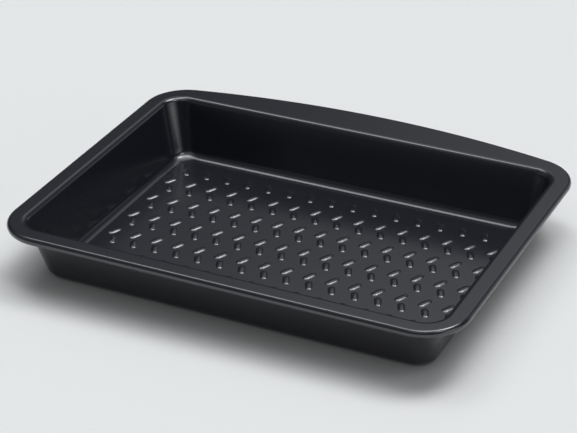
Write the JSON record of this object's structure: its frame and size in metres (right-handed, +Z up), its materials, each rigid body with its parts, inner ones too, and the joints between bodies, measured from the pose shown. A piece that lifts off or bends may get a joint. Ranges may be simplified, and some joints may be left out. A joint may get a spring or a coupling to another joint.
{
  "type": "roasting dish",
  "caption": "Shallow rectangular roasting dish with leaning walls, a bowed grip flange along one long side, a rolled rim and raised ribs on its floor.",
  "frame": {"origin": "centre of the flat underside that the dish rests on", "axes": "+X along the length, +Y towards the bowed grip flange, +Z up"},
  "size_m": [0.4, 0.3144, 0.0525],
  "materials": {
    "nonstick_coating": "semi-gloss charcoal non-stick coating",
    "rim_wire_steel": "drawn bright"
  },
  "bodies": {
    "root": {"dish_body": "nonstick_coating", "rim_wire": "rim_wire_steel"}
  },
  "joints": []
}
